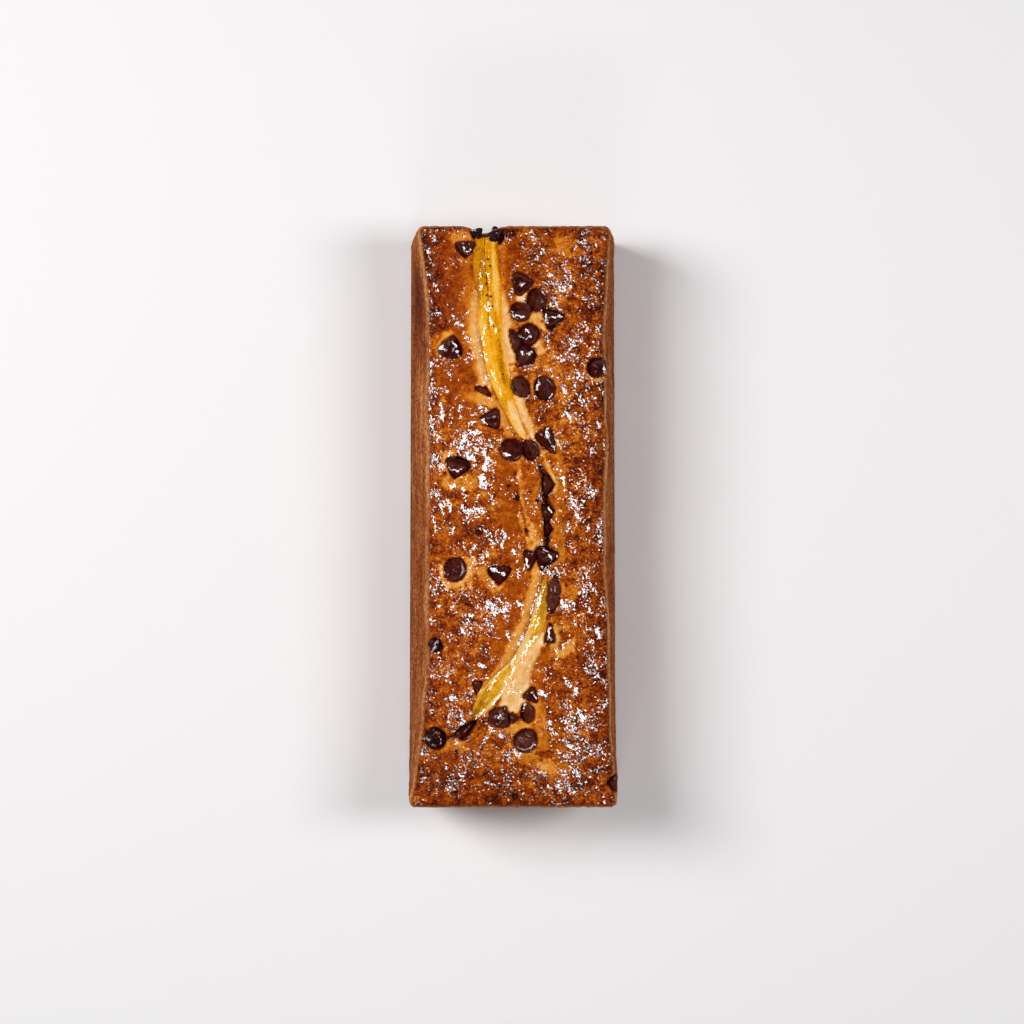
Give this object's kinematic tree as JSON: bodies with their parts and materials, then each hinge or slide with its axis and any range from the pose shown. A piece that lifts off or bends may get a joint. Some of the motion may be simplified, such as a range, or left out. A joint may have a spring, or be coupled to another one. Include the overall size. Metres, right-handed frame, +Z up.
{
  "type": "banana loaf cake",
  "caption": "Long uncut loaf cake with a split, glazed crust, two strips of baked banana in the split and chocolate chips sunk into the top.",
  "frame": {"origin": "centre of the flat base, on the surface that the cake stands on", "axes": "+Z up; +Y along the loaf, towards the end where the wider strip of banana starts; +X across it"},
  "size_m": [0.0866, 0.234, 0.0672],
  "materials": {
    "crust": "baked golden to red-brown crust under a thin sugar glaze; matte brown on the walls and base",
    "banana": "baked banana flesh, moist and glossy, with fine fibres along it",
    "chocolate": "dark chocolate chip, softened in baking, satin to glossy"
  },
  "bodies": {
    "root": {"cake": "crust", "banana_upper": "banana", "banana_lower": "banana", "chip_01": "chocolate", "chip_02": "chocolate", "chip_03": "chocolate", "chip_04": "chocolate", "chip_05": "chocolate", "chip_06": "chocolate", "chip_07": "chocolate", "chip_08": "chocolate", "chip_09": "chocolate", "chip_10": "chocolate", "chip_11": "chocolate", "chip_12": "chocolate", "chip_13": "chocolate", "chip_14": "chocolate", "chip_15": "chocolate", "chip_16": "chocolate", "chip_17": "chocolate", "chip_18": "chocolate", "chip_19": "chocolate", "chip_20": "chocolate", "chip_21": "chocolate", "chip_22": "chocolate", "chip_23": "chocolate", "chip_24": "chocolate", "chip_25": "chocolate", "chip_26": "chocolate", "chip_27": "chocolate", "chip_28": "chocolate", "chip_29": "chocolate", "chip_30": "chocolate", "chip_31": "chocolate", "chip_32": "chocolate", "chip_33": "chocolate", "chip_34": "chocolate", "chip_35": "chocolate", "chip_36": "chocolate", "chip_37": "chocolate", "chip_38": "chocolate", "chip_39": "chocolate", "chip_40": "chocolate"}
  },
  "joints": []
}
